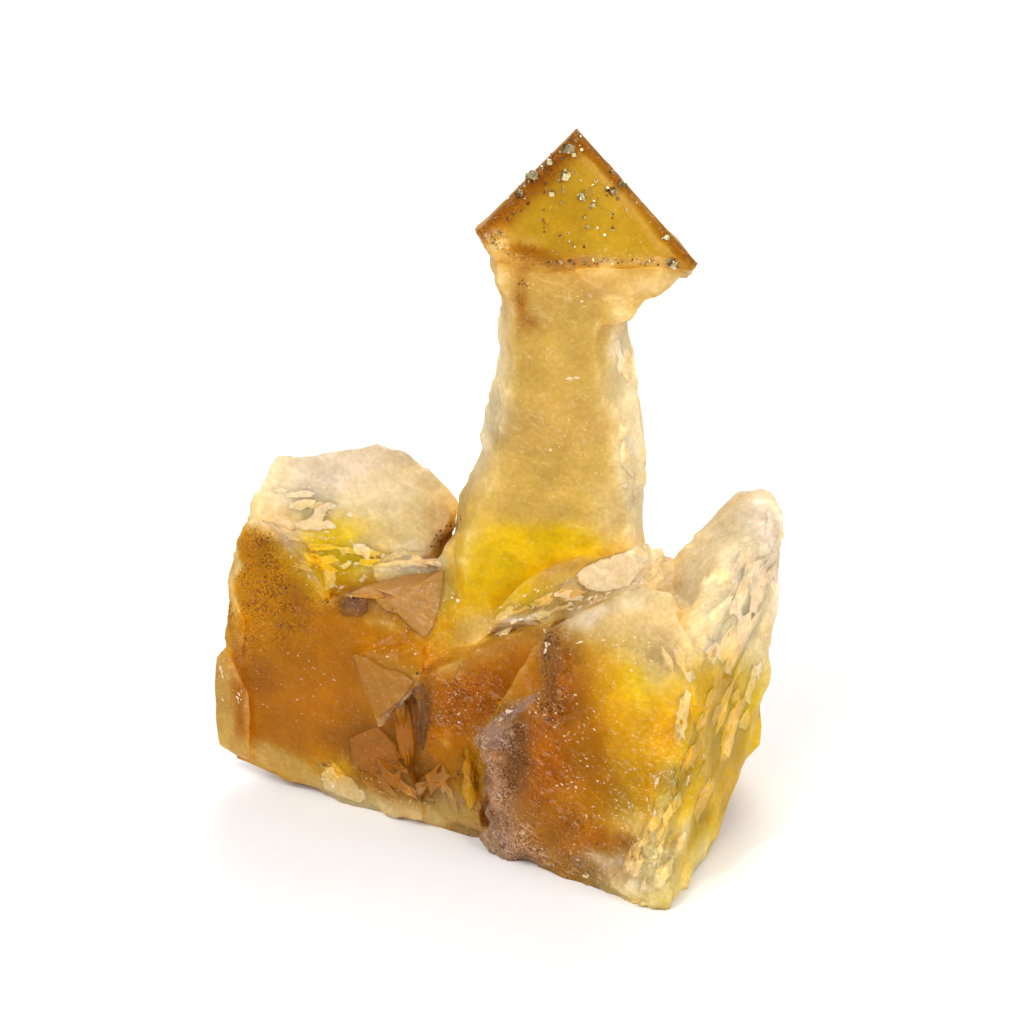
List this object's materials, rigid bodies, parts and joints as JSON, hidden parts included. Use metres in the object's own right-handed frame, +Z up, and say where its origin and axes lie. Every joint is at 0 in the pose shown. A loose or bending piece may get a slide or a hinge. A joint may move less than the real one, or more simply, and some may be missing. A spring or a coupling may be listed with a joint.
{
  "type": "fluorite specimen",
  "caption": "Yellow fluorite specimen: a cube crystal with golden sulphide grains on a tall pale stalk, rising from a broken amber crystal group with a flat underside.",
  "frame": {"origin": "on the ground, under the middle of the bounding box", "axes": "+Z up along the stalk, front of the head crystal towards -Y, pointed wing towards +X"},
  "size_m": [0.0586, 0.0416, 0.0728],
  "materials": {
    "fluorite_honey": "see-through honey to amber fluorite with milky cream zones, glassy cleaved faces",
    "sulphide_gold": "bright silvery-gold crystal faces, dark tarnish in the steps"
  },
  "bodies": {
    "root": {"fluorite": "fluorite_honey", "sulphide_01": "sulphide_gold", "sulphide_02": "sulphide_gold", "sulphide_03": "sulphide_gold", "sulphide_04": "sulphide_gold", "sulphide_05": "sulphide_gold", "sulphide_06": "sulphide_gold", "sulphide_07": "sulphide_gold", "sulphide_08": "sulphide_gold", "sulphide_09": "sulphide_gold", "sulphide_10": "sulphide_gold", "sulphide_11": "sulphide_gold", "sulphide_12": "sulphide_gold"}
  },
  "joints": []
}
